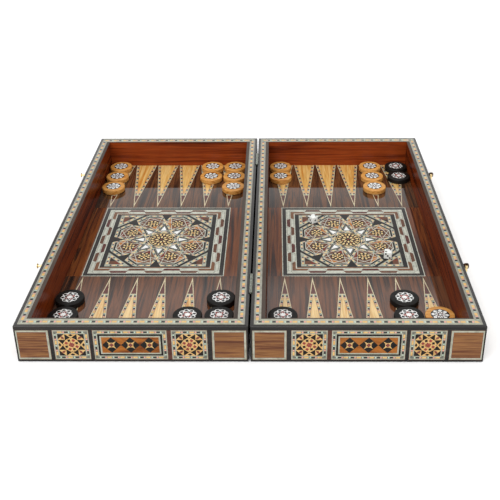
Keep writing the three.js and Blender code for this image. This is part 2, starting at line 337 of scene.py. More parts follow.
def ribbon_frame(u0, v0, u1, v1, width, repeat):
    """A rectangular frame of ribbon, given by its outer edges: chips in a dark groove in bone."""
    half, row = width / 2, 0.21 * width
    groove = row + 0.25
    corners = rectangle(u0 + half, v0 + half, u1 - half, v1 - half)
    shapes = [("bone", rectangle(u0, v0, u1, v1))]
    for a, b in zip(corners, corners[1:] + corners[:1]):
        end = (Vector(b) - Vector(a)).normalized() * groove
        shapes.append(("bone_line", strip(Vector(a) - end, Vector(b) + end, groove)))
        shapes += chips(a, b, row, repeat, 0.9 * half)
    return shapes


# ---------------------------------------------------------------- mesh making

class Plane:
    """A flat face of the set: its corner and its two directions, with the third pointing out of it."""

    def __init__(self, corner, u, v):
        self.corner, self.u, self.v = Vector(corner), Vector(u), Vector(v)
        self.out = self.u.cross(self.v)

    def at(self, u, v, height=0.0):
        return self.corner + (self.u * u + self.v * v + self.out * height) * MM

    def plan_of(self, node):
        """A node's outline in this plane, which lies level."""
        low, high = box(node)
        a, b = (low - self.corner) / MM, (high - self.corner) / MM
        us = sorted((a.dot(self.u), b.dot(self.u)))
        vs = sorted((a.dot(self.v), b.dot(self.v)))
        return rectangle(us[0], vs[0], us[1], vs[1])


def box(node):
    """A node's lowest and highest corners."""
    return tuple(Vector(corner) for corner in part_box(node))


def add_object(name, mesh, body, nodes=()):
    made = bpy.data.objects.new(name, mesh)
    bpy.context.scene.collection.objects.link(made)
    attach(made, body)
    if nodes:
        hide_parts(*nodes)
    return made


def mesh_from(name, bm, materials=()):
    mesh = bpy.data.meshes.new(name)
    bm.to_mesh(mesh)
    bm.free()
    for material in materials:
        mesh.materials.append(MATERIALS[material])
    return mesh


def shade_by_angle(made, degrees=35.0):
    made.data.shade_smooth()
    for edge in made.data.edges:
        edge.use_edge_sharp = False
    made.data.set_sharp_from_angle(angle=math.radians(degrees))


def add_solid(name, bm, materials, body, nodes=()):
    """A piece with its faces turned outwards, and smooth but for its sharp edges."""
    bmesh.ops.recalc_face_normals(bm, faces=bm.faces)
    shade_by_angle(add_object(name, mesh_from(name, bm, materials), body, nodes))


def walls(bm, lower, upper):
    """The faces that join two rings of vertices."""
    count = len(lower)
    return [bm.faces.new((lower[k], lower[(k + 1) % count], upper[(k + 1) % count], upper[k]))
            for k in range(count)]


def top_layers(layers):
    """Cuts overlapping polygons into triangles, each with the layer that lies on top there."""
    corners, faces = [], []
    for _, polygon in layers:
        polygon = polygon if area(polygon) > 0 else polygon[::-1]
        faces.append(list(range(len(corners), len(corners) + len(polygon))))
        corners.extend(Vector(corner) for corner in polygon)
    points, _, triangles, _, _, sources = delaunay_2d_cdt(corners, [], faces, 1, 1e-4)
    cut = []
    for triangle, covering in zip(triangles, sources):
        middle = (points[triangle[0]] + points[triangle[1]] + points[triangle[2]]) / 3
        covering = [layer for layer in covering if holds(layers[layer][1], middle)]
        if 0 in covering:
            cut.append((triangle, max(covering)))
    return points, cut


def inlay(name, plane, ground, outline, shapes, body, depth, lift=LIFT, nodes=()):
    """A flush sheet of marquetry, as a slab of its own, in which each visible chip keeps its outline."""
    layers = [(ground, outline)] + shapes
    points, cut = top_layers(layers)
    used, made = [], {}
    bm = bmesh.new()
    for triangle, top in cut:
        for index in triangle:
            if (index, top) not in made:
                made[(index, top)] = bm.verts.new(plane.at(points[index].x, points[index].y, lift))
        face = bm.faces.new([made[(index, top)] for index in triangle])
        material = layers[top][0]
        if material not in used:
            used.append(material)
        face.material_index = used.index(material)

    ring = outline if area(outline) > 0 else outline[::-1]
    upper = [bm.verts.new(plane.at(u, v, lift)) for u, v in ring]
    lower = [bm.verts.new(plane.at(u, v, lift - depth)) for u, v in ring]
    if ground not in used:
        used.append(ground)
    for face in [bm.faces.new(lower[::-1])] + walls(bm, lower, upper):
        face.material_index = used.index(ground)
    add_object(name, mesh_from(name, bm, used), body, nodes)


def lathe(bm, profile, centre, axis, segments):
    """Turns a profile of (distance along axis, radius) about an axis through centre."""
    axis = Vector(axis).normalized()
    side = axis.orthogonal().normalized()
    other = axis.cross(side)
    angles = [2 * math.pi * k / segments for k in range(segments)]
    rings = []
    for distance, radius in profile:
        hub = Vector(centre) + axis * distance * MM
        spokes = [side * math.cos(a) + other * math.sin(a) for a in angles] if radius else [side]
        rings.append([bm.verts.new(hub + spoke * radius * MM) for spoke in spokes])
    for lower, upper in zip(rings, rings[1:]):
        for k in range(segments):
            n = (k + 1) % segments
            corners = [lower[k % len(lower)], lower[n % len(lower)], upper[n % len(upper)],
                       upper[k % len(upper)]]
            bm.faces.new(list(dict.fromkeys(corners)))


def prism(bm, polygon, plane, depth, soft):
    """Extrudes a polygon in a plane downwards by depth, with its edges softened."""
    upper = [bm.verts.new(plane.at(u, v)) for u, v in polygon]
    lower = [bm.verts.new(plane.at(u, v, -depth)) for u, v in polygon]
    bm.faces.new(upper)
    bm.faces.new(lower[::-1])
    walls(bm, lower, upper)
    rims = [e for e in bm.edges if all(v in upper for v in e.verts) or all(v in lower for v in e.verts)]
    bmesh.ops.bevel(bm, geom=rims, offset=soft * MM, segments=2, profile=0.5, affect="EDGES")


# ---------------------------------------------------------------- the rails

RAILS = {  # each rail's outer side: the axis it faces along, and which way in the left tray
    "front_rail": ("y", -1),
    "back_rail": ("y", 1),
    "outer_rail": ("x", -1),
    "hinge_rail": ("x", 1),
}
CORNER_ROUNDING = 1.0
RAIL_BEVEL = 0.8


class Rail:
    """A rail with directions of its own: s along it, w in from its outer face, and z up."""

    def __init__(self, tray, name):
        self.axis, way = RAILS[name]
        self.outward = way if self.axis == "y" or tray == "left" else -way
        self.node = f"{tray}_{name}"
        self.body = f"{tray}_half"
        self.low, self.high = (corner / MM for corner in box(self.node))
        size = self.high - self.low
        self.length, self.thickness = (size.x, size.y) if self.axis == "y" else (size.y, size.x)
        self.height = size.z
        self.inward = (self.at(0, 1) - self.at(0, 0)) / MM

    def at(self, s, w, z=0.0):
        low, high = self.low, self.high
        if self.axis == "y":
            return Vector((low.x + s, low.y + w if self.outward < 0 else high.y - w, low.z + z)) * MM
        return Vector((low.x + w if self.outward < 0 else high.x - w, low.y + s, low.z + z)) * MM

    def plane(self, v, out, z=0.0):
        """The plane at height z that runs along the rail and along v, and looks the way of out."""
        u = (self.at(1, 0) - self.at(0, 0)) / MM
        plane = Plane(self.at(0, 0, z), u, v)
        return plane if plane.out.dot(out) > 0 else Plane(self.at(self.length, 0, z), -u, v)

    def plan(self):
        """The mitred rail from above, with its share of the tray's rounded corners."""
        rounding = CORNER_ROUNDING
        end = [(self.thickness, self.thickness)] + arc((rounding, rounding), rounding, 225, 270, 4)
        return end + [(self.length - s, w) for s, w in reversed(end)]


def add_rail(rail):
    """The rail's wood: ebony outside, brown inside the band on top, and mahogany on the inner face, which on
    the side rails is mahogany_y, painted darker as painted shade.
    """
    bm = bmesh.new()
    lower = [bm.verts.new(rail.at(s, w, 0)) for s, w in rail.plan()]
    upper = [bm.verts.new(rail.at(s, w, rail.height)) for s, w in rail.plan()]
    bm.faces.new(lower)
    bm.faces.new(upper)
    walls(bm, lower, upper)
    bmesh.ops.recalc_face_normals(bm, faces=bm.faces)
    outer_edges = [e for e in bm.edges
                   if any(all(v in ring[1:-1] for v in e.verts) for ring in (lower, upper))]
    bmesh.ops.bevel(bm, geom=outer_edges, offset=RAIL_BEVEL * MM, segments=4, profile=0.5, affect="EDGES")
    everything = bm.verts[:] + bm.edges[:] + bm.faces[:]
    bmesh.ops.bisect_plane(bm, geom=everything, plane_co=rail.at(0, SIDE_BAND["chips"]), plane_no=rail.inward)
    bm.normal_update()
    for face in bm.faces:
        depth = (face.calc_center_median() - rail.at(0, 0)).dot(rail.inward) / MM
        if abs(depth - rail.thickness) < 0.01:
            face.material_index = 2
        elif depth > SIDE_BAND["chips"]:
            face.material_index = 1
        elif face.normal.z < 0.5:
            face.material_index = 3
    suffix = "" if rail.axis == "y" else "_y"
    # On the side rails the inner face takes mahogany_y, which carries painted shade.
    materials = ["ebony" + suffix, "rim_brown" + suffix, "mahogany" + suffix, "ebony_face"]
    name = f"{rail.node}_wood"
    made = add_object(name, mesh_from(name, bm, materials), rail.body, (rail.node,))
    shade_by_angle(made)
    return made


def add_rim_band(rail):
    """The marquetry band let into the top of a rail, mitred at both ends."""
    at_end = rail.axis == "y"
    band, cross = (END_BAND, SIDE_BAND) if at_end else (SIDE_BAND, END_BAND)
    near, far = band["ebony"], band["brown"]
    outline = [(cross["ebony"], near), (rail.length - cross["ebony"], near),
               (rail.length - cross["brown"], far), (cross["brown"], far)]
    row = (band["bone"] + band["chips"]) / 2
    half = (band["chips"] - band["bone"]) / 2
    start = cross["bone"] if at_end else cross["chips"] + 0.6
    shapes = chips((start, row), (rail.length - start, row), half, 14.3)
    plane = rail.plane(rail.inward, Vector((0, 0, 1)), rail.height)
    inlay(f"{rail.node}_rim_band", plane, "bone" if at_end else "side_bone", outline, shapes,
          rail.body, 0.5)


def cut_mortises(rail_object):
    """Lets the leaves' mortises into a hinge rail."""
    way = 1 if rail_object.name.startswith("right") else -1
    for hinge in ("front", "back"):
        low, high = box(f"{hinge}_hinge_right_leaf")
        size = Vector((3.0 * MM, (high.y - low.y) + 0.6 * MM, 18 * MM))
        centre = Vector((way * 1.0 * MM, (low.y + high.y) / 2, low.z - 0.3 * MM + size.z / 2))
        bm = bmesh.new()
        bmesh.ops.create_cube(bm, size=1.0)
        place = Matrix.Translation(centre) @ Matrix.Diagonal((*size, 1))
        bmesh.ops.transform(bm, matrix=place, verts=bm.verts)
        cutter = bpy.data.objects.new("cutter", mesh_from("cutter", bm))
        bpy.context.scene.collection.objects.link(cutter)
        modifier = rail_object.modifiers.new("mortise", "BOOLEAN")
        modifier.operation = "DIFFERENCE"
        modifier.object = cutter
        bpy.context.view_layer.update()
        graph = bpy.context.evaluated_depsgraph_get()
        result = bpy.data.meshes.new_from_object(rail_object.evaluated_get(graph))
        rail_object.modifiers.clear()
        rail_object.data = result
        bpy.data.objects.remove(cutter)


# ---------------------------------------------------------------- panels on the outer faces

PANEL_LOW, PANEL_HIGH = 3.2, 40.2
PANEL_RIBBON = 4.7


def plain_panel(u, half):
    """A board of plain wood inside a bone line."""
    nested = (("brown_wood", -0.4), ("bone", 0.0), ("red_wood", 2.1), ("panel", 2.5))
    return [(material, rectangle(u - half + step, 3 + step, u + half - step, 40 - step))
            for material, step in nested]


def ribbon_panel(u, half, repeat):
    """A brown line and a ribbon, round the place of a panel."""
    edge = 0.5
    line = rectangle(u - half - edge, PANEL_LOW - edge, u + half + edge, PANEL_HIGH + edge)
    ribbon = ribbon_frame(u - half, PANEL_LOW, u + half, PANEL_HIGH, PANEL_RIBBON, repeat)
    return [("brown_wood", line)] + ribbon


def star_panel(u):
    """A square panel: an eight-pointed star of maple and ebony round a small rosette."""
    half, centre = 13.9, (u, 21.7)
    dark_at, red_at = turned([(5.9, 0)], 23)[0], turned([(5.9, 0)], 68)[0]
    quarter = [
        ("face_dark", [(half, half), (half - 7.0, half), (half, half - 7.0)]),
        ("red_wood", [(11.8, 10.9), (8.0, 10.1), (6.9, 6.9), (10.1, 8.0)]),
        ("face_dark", [(6.4, 5.9), (6.4, half), (0.7, 9.4)]),
        ("face_dark", [(-6.4, 5.9), (-6.4, half), (-0.7, 9.4)]),
        ("face_dark", [(0, half), (2.6, half - 1.5), (0, half - 3.0), (-2.6, half - 1.5)]),
        ("face_dark", turned(rectangle(-1.4, -1.4, 1.4, 1.4), 12, dark_at)),
        ("disc_red", turned(rectangle(-1.5, -1.5, 1.5, 1.5), 57, red_at)),
        ("disc_red", lozenge(0.4, 4.0, 1.1, 22)),
        ("disc_red", lozenge(0.4, 3.6, 0.8, 67)),
        ("brown_wood", [(7.9, 0), (8.6, 0.8), (9.4, 0), (8.6, -0.8)]),
    ]
    shapes = ribbon_panel(u, 18.7, 13.6)
    shapes += all_turned([("maple", rectangle(-half, -half, half, half))], 0, centre)
    for index in range(4):
        shapes += all_turned(quarter, 90 * index, centre)
    return shapes + all_turned([("disc_red", regular(4, 1.2))], 0, centre)


def long_panel(u):
    """The middle panel: amber wood with three ebony diamonds."""
    shapes = ribbon_panel(u, 38.6, 14.3)
    shapes.append(("face_dark", rectangle(u - 33.9, 7.9, u + 33.9, 35.5)))
    shapes.append(("bone", rectangle(u - 31.8, 9.9, u + 31.8, 33.1)))
    shapes.append(("amber", rectangle(u - 30.2, 11.5, u + 30.2, 31.5)))
    kite = [(0, 9.9), (-5.0, 5.0), (-1.7, 2.9), (1.7, 2.9), (5.0, 5.0)]
    star = [p for index in range(4) for p in turned([(5.0, 5.0), (1.7, 2.9), (-1.7, 2.9)], 90 * index)]
    diamond = [("face_dark", turned(kite, 90 * index)) for index in range(4)]
    diamond += [("maple", star), ("red_wood", turned(rectangle(-1.9, -1.9, 1.9, 1.9), 45))]
    for k in (-1, 0, 1):
        shapes += all_turned(diamond, 0, (u + 20 * k, 21.5))
    return shapes


def face_panels(start, way):
    """One tray's width of panels, laid out from start in the direction way."""
    def at(distance):
        return start + way * distance

    strip_from, strip_to = sorted((at(159.7), at(164.3)))
    shapes = [("red_strip", rectangle(strip_from, PANEL_LOW, strip_to, PANEL_HIGH))]
    shapes += plain_panel(at(18.6), 17.5) + star_panel(at(59.4)) + long_panel(at(121.2))
    return shapes + star_panel(at(183.2)) + plain_panel(at(224.9), 17.7)


def add_face_panels(tray, rail):
    """The outer face of a rail, with its panels let in as one sheet."""
    plane = rail.plane((0, 0, 1), -rail.inward)
    if rail.axis == "x":
        shapes = face_panels(2.0, 1) + face_panels(rail.length - 2.0, -1)
        shapes = renamed(shapes, {"panel": "panel_y", "amber": "amber_y"})
    elif (tray == "left") == (plane.u.x > 0):
        shapes = face_panels(0, 1)
    else:
        shapes = face_panels(rail.length, -1)
    outline = rectangle(1.9, 2.2, rail.length - 1.9, rail.height - 4.2)
    inlay(f"{rail.node}_panels", plane, "ebony_face", outline, shapes, rail.body, 0.4)


# ---------------------------------------------------------------- the playing field

POINT_PITCH = 33.7
POINT_REACH = 142.0
POINT_HALF_BASE = 15.7
POINTS_OFFSET = -0.8  # from the tray's middle to the middle of its six points
TIP_FROM, TIP_TO = 104.0, 132.0  # the red part of a point, from its base


def point(u, base, way):
    """One point of the board: its base on the line v = base, pointing the way of +v or -v."""
    def at(x, reach):
        return (u + x, base + way * reach)

    def half(reach, edge=0.0):
        return POINT_HALF_BASE * (1 - reach / POINT_REACH) - edge

    line, row_end, core = 1.0, 3.3, 3.95  # in from the edge: the cream line, the chips and the maple
    shoulder, apex = 88.0, 102.5  # where the maple stops following the edges, and where it ends
    row_middle, row_half = (line + row_end) / 2, (row_end - line) / 2
    shapes = [("cream", [at(-half(0), 0), at(half(0), 0), at(0, POINT_REACH)]),
              ("tip", [at(-half(TIP_FROM, line), TIP_FROM + 1), at(half(TIP_FROM, line), TIP_FROM + 1),
                       at(0, TIP_TO)])]
    for side in (-1, 1):
        a = at(side * half(0, row_middle), 0)
        b = at(side * half(TIP_FROM, row_middle), TIP_FROM)
        shapes.append(("bone_line", strip(b, a, row_half + 0.15)))
        shapes += chips(b, a, row_half, 13.6)
    maple = "pale_point" if way > 0 else "point"
    for material, edge in (("brown_wood", core - 0.4), (maple, core)):
        foot, bend = half(0, edge), half(shoulder, edge)
        shapes.append((material, [at(-foot, 0), at(foot, 0), at(bend, shoulder), at(0, apex),
                                  at(-bend, shoulder)]))
    return shapes


def add_field(tray, plane):
    middle = TRAY_SIZE[0] / 2 + POINTS_OFFSET
    for name, base, way in (("front_field", FIELD_EDGE, 1), ("back_field", TRAY_SIZE[1] - FIELD_EDGE, -1)):
        shapes = []
        for k in range(6):
            shapes += point(middle + (k - 2.5) * POINT_PITCH, base, way)
        node = f"{tray}_{name}"
        inlay(f"{node}_veneer", plane, name, plane.plan_of(node), shapes, f"{tray}_half",
              1.0, 0.0, (node,))


# ---------------------------------------------------------------- the medallion

MEDALLION_HALF = 88.8
MEDALLION_STRETCH = (0.985, 1.017)  # the square is a little longer than it is wide
OCTAGON = 64.7  # from the middle to each side of the octagon that the petals fill
OCTAGON_LENGTHENED = 1.026  # the octagon is this much longer than it is wide, next to its frame
STAR_OUT, STAR_IN = 19.5, 15.7  # the star's eight ribbons lie between these distances from the middle
TILT = math.radians(22.5)
RIBBON_GAP = (OCTAGON * math.sin(TILT) - STAR_OUT) / math.cos(TILT)  # half the gap between two petals
PETAL_RIBBON = 4.2
ROSETTE_AT = 44.6
KITE = [("bone", [(21.8, -6.2), (38.0, 0), (21.8, 6.2), (21.0, 0)]),
        ("chip_dark", [(22.4, -5.6), (37.2, 0), (22.4, 5.6)]),
        ("nacre", [(23.4, -4.1), (34.6, 0), (23.4, 4.1)])]
PETAL_SHADES = ["umber_wood", "red_wood", "brown_wood", "brown_wood", "amber_wood", "umber_wood"]
FRAME_IN = 70.3  # half the square inside the chain
CHAIN_UNIT = 22.2
CHAIN_ROWS = ((71.6, 76.1, 1.3), (76.9, 81.5, -1.3))  # each row's near and far edge, and its bricks' lean


def star_ribbon():
    """One of the eight ribbons that cross to make the star, cut off along the octagon's sides."""
    def reach(distance):
        return (OCTAGON - distance * math.sin(TILT)) / math.cos(TILT)

    far, near = reach(STAR_OUT), reach(STAR_IN)
    middle, row = (STAR_OUT + STAR_IN) / 2, 0.22 * (STAR_OUT - STAR_IN)
    band = [(STAR_IN, -near), (STAR_OUT, -far), (STAR_OUT, far), (STAR_IN, near)]
    shapes = [("bone_line", band), ("bone_ribbon", inset(band, [0.0, 0.35]))]
    return shapes + chips((middle, -far), (middle, far), row, 11.0)


def petal_inside(out):
    """The six-sided inside of a petal; out is how far its outer edges are from the middle."""
    start = STAR_OUT * math.sqrt(2)
    shoulder = (out - STAR_IN * math.sin(TILT)) / math.cos(TILT)
    return [(start, 0), (start + STAR_IN, -STAR_IN), (shoulder, -STAR_IN), (out / math.cos(TILT), 0),
            (shoulder, STAR_IN), (start + STAR_IN, STAR_IN)]


def petal(index):
    """One of the eight petals, pointing along +x; its woods depend on its index."""
    shapes = []
    for way in (-1, 1):
        normal = Vector((math.cos(TILT), way * math.sin(TILT)))
        along = Vector((-normal.y, normal.x)) * way
        reach = OCTAGON - PETAL_RIBBON / 2
        a = normal * reach - along * reach * math.tan(TILT)
        b = normal * reach - along * RIBBON_GAP
        shapes.append(("bone_ribbon", strip(a, b, PETAL_RIBBON / 2)))
        shapes += chips(a, b, 0.22 * PETAL_RIBBON, 10.5, 0.8)
    edge = OCTAGON - PETAL_RIBBON
    bone = petal_inside(edge - 2.5)
    fill = inset(bone, [0.2, 0.2, 1.0, 1.0, 0.2, 0.2])
    shapes += [("chip_dark", petal_inside(edge)), ("pale_bone", bone), ("brown_wood", fill)]
    neighbours = [(fill[k - 1], fill[(k + 1) % 6]) for k in range(6)]
    for k, (before, after) in enumerate(neighbours):
        shapes.append((PETAL_SHADES[(k + 5 * index) % 6], [before, fill[k], after]))
    shapes.append(("brown_wood", [midpoint(before, after) for before, after in neighbours]))
    for k in range(6):
        shapes.append(("pale_bone", strip(fill[k], fill[(k + 2) % 6], 0.42)))
    return shapes + all_turned(small_rosette(), 0, (ROSETTE_AT, 0))


def small_rosette():
    """Two rings of maple lozenges in a dark disc."""
    shapes = [("chip_dark", regular(12, 8.7))]
    shapes += [("pale_maple", lozenge(4.5, 8.3, 1.7, 45 * index)) for index in range(8)]
    shapes += [("pale_maple", lozenge(0.9, 4.6, 1.4, 90 * index + 22.5)) for index in range(4)]
    return shapes + [("amber_wood", regular(6, 1.2))]


def great_rosette():
    """The rosette in the middle: two rings of maple lozenges in an ebony octagon."""
    shapes = [("chip_dark", regular(8, (STAR_IN + 0.9) / math.cos(TILT), 22.5)),
              ("pale_maple", regular(24, 15.9)), ("chip_dark", regular(24, 15.2))]
    shapes += [("pale_maple", lozenge(9.2, 14.6, 1.6, 22.5 * index + 11.25, 0.6)) for index in range(16)]
    for index in range(8):
        shapes.append(("pale_maple", lozenge(3.1, 8.8, 1.7, 45 * index, 0.55)))
        shapes.append((("amber_wood", "red_wood")[index % 2], lozenge(7.2, 10.2, 0.9, 45 * index + 22.5)))
    return shapes + [("red_wood", regular(6, 1.7))]


def octagon_corner():
    """What lies between the octagon and one corner of the square, here the corner along +x."""
    tip = OCTAGON * math.sqrt(2)

    def beyond(distance):
        return [(distance, distance - tip), (tip, 0), (distance, tip - distance)]

    edge = beyond(OCTAGON + 3.8)
    shapes = [("chip_dark", beyond(OCTAGON)), ("bone_ribbon", beyond(OCTAGON + 3.6))]
    ring = inset(edge, [2.5])
    for start, end in zip(ring, ring[1:] + ring[:1]):
        shapes += chips(start, end, 1.1, 10.5, 2.5)
    a, b, c = inset(edge, [5.4])
    return shapes + [("brown_wood", inset(edge, [4.8])),
                     ("chip_dark", [a, midpoint(a, b), midpoint(a, c)]),
                     ("red_wood", [c, midpoint(a, c), midpoint(b, c)])]


def brick(material, index, row, trim=0.0):
    """A brick of the chain on the square's near side; trim makes it smaller all round."""
    near, far, lean = CHAIN_ROWS[row]
    first = CHAIN_UNIT * (index - 0.5) + 0.5 + trim
    last = CHAIN_UNIT * (index + 0.5) - 0.5 - trim
    return (material, [(first + lean, -near - trim), (last - lean, -near - trim),
                       (last + lean, -far + trim), (first - lean, -far + trim)])


def chain_side(side):
    """The near side of the chain: brown bricks set in two rows of bone, with an ell at each end."""
    shapes = []
    for k in range(-3, 4):
        row = k % 2
        shapes += [brick("bone_line", k, row), brick("bone", k, row, 0.5)]
        if abs(k) < 3:
            shapes.append(brick(("brown_wood", "tip", "brown_wood")[(k + side) % 3], k, 1 - row))
    near, far, lean = CHAIN_ROWS[0]
    start = 2.5 * CHAIN_UNIT + 0.6
    for way in (-1, 1):
        shapes.append(("umber_wood", [(way * (start - lean), -near), (way * near, -near), (way * far, -far),
                                      (way * (start + lean), -far)]))
    return shapes


def chain_frame():
    """The frame round the square, and the black ground inside it with an umber line at both ends."""
    nested = (("bone", MEDALLION_HALF), ("chip_dark", MEDALLION_HALF - 1.1), ("rim_brown", 85.3),
              ("chip_dark", 85.0), ("bone", 82.7))
    shapes = [(material, rectangle(-half, -half, half, half)) for material, half in nested]
    for side in range(4):
        shapes += all_turned(chain_side(side), 90 * side)
    shapes.append(("chip_dark", rectangle(-FRAME_IN, -FRAME_IN, FRAME_IN, FRAME_IN)))
    for low in (-FRAME_IN, FRAME_IN - 2.1):
        shapes.append(("umber_wood", rectangle(-FRAME_IN, low, FRAME_IN, low + 2.1)))
    return shapes


def medallion(u, v):
    """The square inlaid panel, centred on (u, v)."""
    gap_wedge = [(STAR_OUT / math.sin(TILT) - 1.8, 0), (OCTAGON, -RIBBON_GAP - 1), (OCTAGON, RIBBON_GAP + 1)]
    inside = [("chip_dark", rectangle(-OCTAGON, -OCTAGON, OCTAGON, OCTAGON))]
    for index in range(8):
        inside += all_turned(star_ribbon(), 22.5 + 45 * index)
    for index in range(8):
        inside += all_turned(petal(index), 22.5 + 45 * index)
    for index in range(8):
        inside += all_turned([("chip_dark", gap_wedge)] + KITE, 45 * index)
    inside += great_rosette()
    for index in range(4):
        inside += all_turned(octagon_corner(), 45 + 90 * index)
    shapes = chain_frame()
    shapes += [(material, [(x, y * OCTAGON_LENGTHENED) for x, y in polygon]) for material, polygon in inside]
    wide, long = MEDALLION_STRETCH
    shapes = [(material, [(u + wide * x, v + long * y) for x, y in polygon]) for material, polygon in shapes]
    return renamed(shapes, {"bone": "pale_bone", "chip_yellow": "pale_maple"})


def add_medallion_strip(tray, plane):
    node = f"{tray}_medallion_panel"
    shapes = medallion(TRAY_SIZE[0] / 2 - 0.3, TRAY_SIZE[1] / 2)
    inlay(f"{node}_marquetry", plane, "middle_field", plane.plan_of(node), shapes, f"{tray}_half",
          1.0, 0.0, (node,))


def add_underside(tray):
    """The base panel, whose underside is the outside of the closed set."""
    node = f"{tray}_base_panel"
    low, high = box(node)
    plane = Plane((low.x, high.y, low.z), (1, 0, 0), (0, -1, 0))
    outline = plane.plan_of(node)
    width, length = outline[2]
    shapes = ribbon_frame(10, 10, width - 10, length - 10, 4.6, 14.2)
    shapes.append(("chip_dark", rectangle(14.6, 14.6, width - 14.6, length - 14.6)))
    shapes.append(("underside", rectangle(17, 17, width - 17, length - 17)))
    shapes += medallion(width / 2, length / 2)
    inlay(f"{node}_veneer", plane, "underside", outline, shapes, f"{tray}_half", 4.4, -0.05,
          (node,))


# ---------------------------------------------------------------- checkers and dice

DISC_SPIN = 137.5  # each disc is turned this many degrees further than the one before it


def clipped(polygon, radius):
    """polygon, with the corners that reach past radius drawn in to it."""
    shares = [min(1, radius / max(math.hypot(x, y), 1e-9)) for x, y in polygon]
    return [(x * share, y * share) for (x, y), share in zip(polygon, shares)]


def dark_petal(k):
    """One of the eight petals of a dark checker's disc, along +x."""
    return [
        ("chip_dark", [(5.9, 0), (7.7, 2.3), (9.8, 0.9), (9.8, -0.9), (7.7, -2.3)]),
        (("chip_dark", "disc_red")[k % 2], turned([(3.5, -1.4), (6.1, -1.6), (6.3, 1.4), (3.9, 1.5)], 22.5)),
        ("disc_red", [(2.3, 0), (3.6, 1.0), (5.0, 0), (3.6, -1.0)]),
        ("chip_dark", turned([(9.0, 0), (10.2, 2.6), (11.4, 0), (10.2, -2.6)], 22.5)),
    ]


def light_petal(k):
    """One of the eight petals of a light checker's disc, along +x."""
    shell = [(4.4, 0), (5.6, 0.8), (6.4, 0.8), (7.6, 2.6), (10.3, 0), (7.6, -2.6), (6.4, -0.8), (5.6, -0.8)]
    return [
        ("nacre", shell),
        ("nacre", turned([(2.0, 0), (4.6, 0.9), (6.8, 0), (4.6, -0.9)], 22.5)),
        (("disc_pink", "disc_red")[k % 2], [(2.2, 0), (3.2, 0.6), (4.4, 0), (3.2, -0.6)]),
    ]


def checker_disc(colour, turn):
    """The rosette in a checker's top: petals of shell, with small rhombs between them."""
    dark = colour == "dark"
    petals = [all_turned((dark_petal if dark else light_petal)(k), turn + 45 * k) for k in range(8)]
    shapes = sum(petals, [("nacre", regular(40, DISC_RADIUS - 0.2))] if dark else [])
    if not dark:
        shapes.append(("nacre", regular(8, 1.5)))
    return [(material, clipped(polygon, DISC_RADIUS)) for material, polygon in shapes]


def add_checker(node, body, colour, index):
    low, high = box(node)
    foot = low.z + 2 * LIFT * MM  # clear of the field's inlay
    centre = Vector(((low.x + high.x) / 2, (low.y + high.y) / 2, foot))
    radius, height = (high.x - low.x) / 2 / MM, (high.z - foot) / MM
    soft = 1.2
    profile = [(0, 0)] + arc((soft, radius - soft), soft, 180, 90, 4)
    profile += arc((height - soft, radius - soft), soft, 90, 0, 4)
    profile += [(height, DISC_RADIUS + 0.1), (height, 0)]
    bm = bmesh.new()
    lathe(bm, profile, centre, (0, 0, 1), 64)
    add_solid(f"{node}_wood", bm, [f"{colour}_checker"], body, (node,))
    plane = Plane((centre.x, centre.y, high.z), (1, 0, 0), (0, 1, 0))
    inlay(f"{node}_disc", plane, "chip_dark", regular(40, DISC_RADIUS),
          checker_disc(colour, DISC_SPIN * index), body, 0.5, 0.02)


PIPS = {
    1: [(0, 0)],
    2: [(-1, 1), (1, -1)],
    3: [(-1, 1), (0, 0), (1, -1)],
    4: [(-1, -1), (-1, 1), (1, -1), (1, 1)],
    5: [(-1, -1), (-1, 1), (0, 0), (1, -1), (1, 1)],
    6: [(-1, -1), (-1, 0), (-1, 1), (1, -1), (1, 0), (1, 1)],
}
PIP_SPACING = 2.6
PIP_PROFILE = [(0, 0), (0, 1.25), (0.34, 1.25), (0.36, 0)]
PIP_DEPTH = 0.3
DICE = {  # each die's turn in degrees, its numbers on top, left and front, and if the top is mirrored
    "die_1": (37.0, 2, 3, 1, False),
    "die_2": (-12.0, 2, 6, 3, True),
}


def add_die(node):
    degrees, top, left, front, mirrored = DICE[node]
    low, high = box(node)
    size = high.z - low.z
    turn = Matrix.Translation((low + high) / 2) @ Matrix.Rotation(math.radians(degrees), 4, "Z")
    bm = bmesh.new()
    bmesh.ops.create_cube(bm, size=size)
    bmesh.ops.bevel(bm, geom=bm.edges[:], offset=1.4 * MM, segments=5, profile=0.5, affect="EDGES")
    bmesh.ops.transform(bm, matrix=turn, verts=bm.verts)
    add_solid(f"{node}_body", bm, ["die"], node, (node,))
    # Each side's way out, the way that its pips' first axis runs, and its number.
    sides = [((0, 0, 1), (1, 0, 0), top), ((0, 0, -1), (1, 0, 0), 7 - top),
             ((-1, 0, 0), (0, -1, 0), left), ((1, 0, 0), (0, 1, 0), 7 - left),
             ((0, -1, 0), (1, 0, 0), front), ((0, 1, 0), (-1, 0, 0), 7 - front)]
    bm = bmesh.new()
    for out, first, number in sides:
        out, first = Vector(out), Vector(first)
        second = out.cross(first) * (-1 if mirrored and out.z > 0 else 1)
        for a, b in PIPS[number]:
            hub = out * (size / 2 - PIP_DEPTH * MM) + (first * a + second * b) * PIP_SPACING * MM
            lathe(bm, PIP_PROFILE, turn @ hub, turn.to_3x3() @ out, 20)
    add_solid(f"{node}_pips", bm, ["pip"], node)


# ---------------------------------------------------------------- hardware

